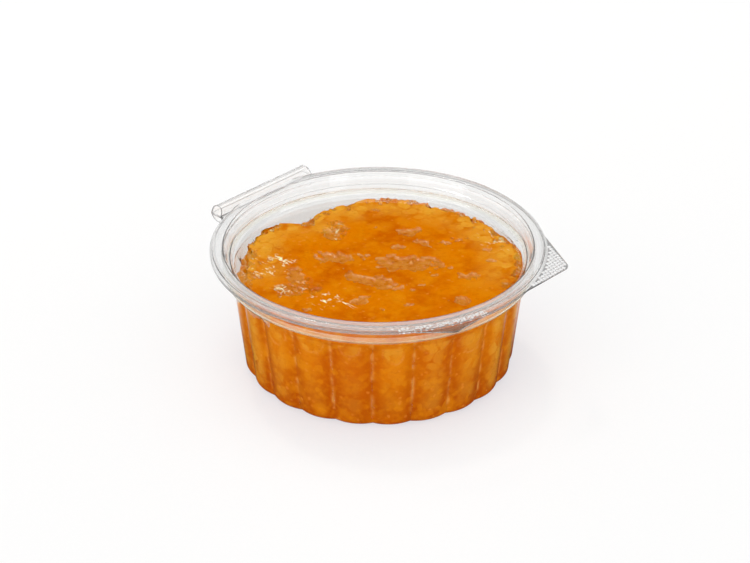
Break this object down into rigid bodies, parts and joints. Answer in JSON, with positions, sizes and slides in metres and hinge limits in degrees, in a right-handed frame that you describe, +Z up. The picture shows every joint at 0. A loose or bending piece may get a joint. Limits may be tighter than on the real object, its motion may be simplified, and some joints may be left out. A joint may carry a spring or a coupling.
{
  "type": "tub of apricot filling",
  "caption": "Round clear fluted tub with a hinged plug-fit lid and pull tabs, shut, full of chunky apricot filling.",
  "frame": {"origin": "on the tub's axis at the underside of its foot", "axes": "+Z up along the tub's axis, +Y towards the lid's hinge, -Y towards the two pull tabs"},
  "size_m": [0.1172, 0.1191, 0.0475],
  "materials": {
    "clear_sheet": "clear thermoformed sheet, glossy",
    "apricot_filling": "wet, translucent, chunky"
  },
  "bodies": {
    "tub": {"tub": "clear_sheet", "filling": "apricot_filling"},
    "lid": {"lid": "clear_sheet"}
  },
  "joints": [
    {"name": "lid_hinge", "type": "hinge", "parent": "tub", "child": "lid", "pos_m": [0, 0.0605, 0.04425], "axis": [-1, 0, 0], "range_deg": [0, 180]}
  ]
}
